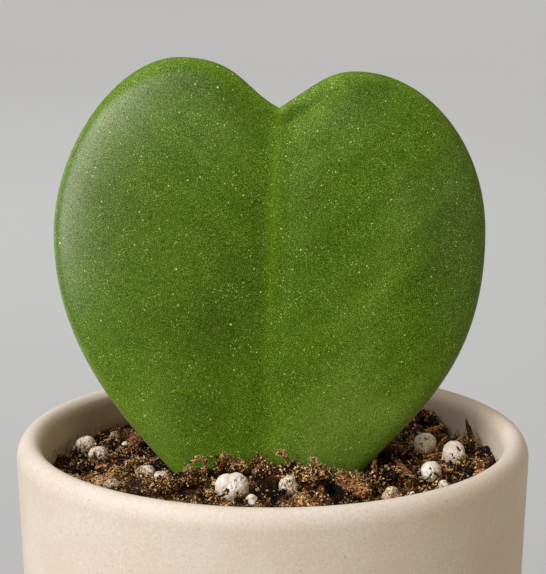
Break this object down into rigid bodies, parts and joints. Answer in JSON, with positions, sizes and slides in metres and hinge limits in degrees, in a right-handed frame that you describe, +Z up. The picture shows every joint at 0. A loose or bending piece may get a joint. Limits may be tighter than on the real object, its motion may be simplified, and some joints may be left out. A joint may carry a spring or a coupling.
{
  "type": "potted hoya plant",
  "caption": "Thick heart-shaped succulent hoya leaf standing upright in rough potting mix with perlite, in a small round pale stoneware pot with a rounded lip.",
  "frame": {"origin": "centre of the pot's foot ring, on the surface that the pot stands on", "axes": "+Z up along the pot's axis; the leaf's front face looks along -Y and its width runs along X"},
  "size_m": [0.08, 0.08, 0.1335],
  "materials": {
    "stoneware": "matte",
    "leaf_flesh": "satin",
    "potting_mix": "matte",
    "perlite": "matte"
  },
  "bodies": {
    "root": {"leaf": "leaf_flesh", "perlite_01": "perlite", "perlite_02": "perlite", "perlite_03": "perlite", "perlite_04": "perlite", "perlite_05": "perlite", "perlite_06": "perlite", "perlite_07": "perlite", "perlite_08": "perlite", "perlite_09": "perlite", "perlite_10": "perlite", "perlite_11": "perlite", "perlite_12": "perlite", "perlite_13": "perlite", "perlite_14": "perlite", "perlite_15": "perlite", "perlite_16": "perlite", "perlite_17": "perlite", "perlite_18": "perlite", "perlite_19": "perlite", "perlite_20": "perlite", "perlite_21": "perlite", "perlite_22": "perlite", "perlite_23": "perlite", "pot": "stoneware", "soil": "potting_mix"}
  },
  "joints": []
}
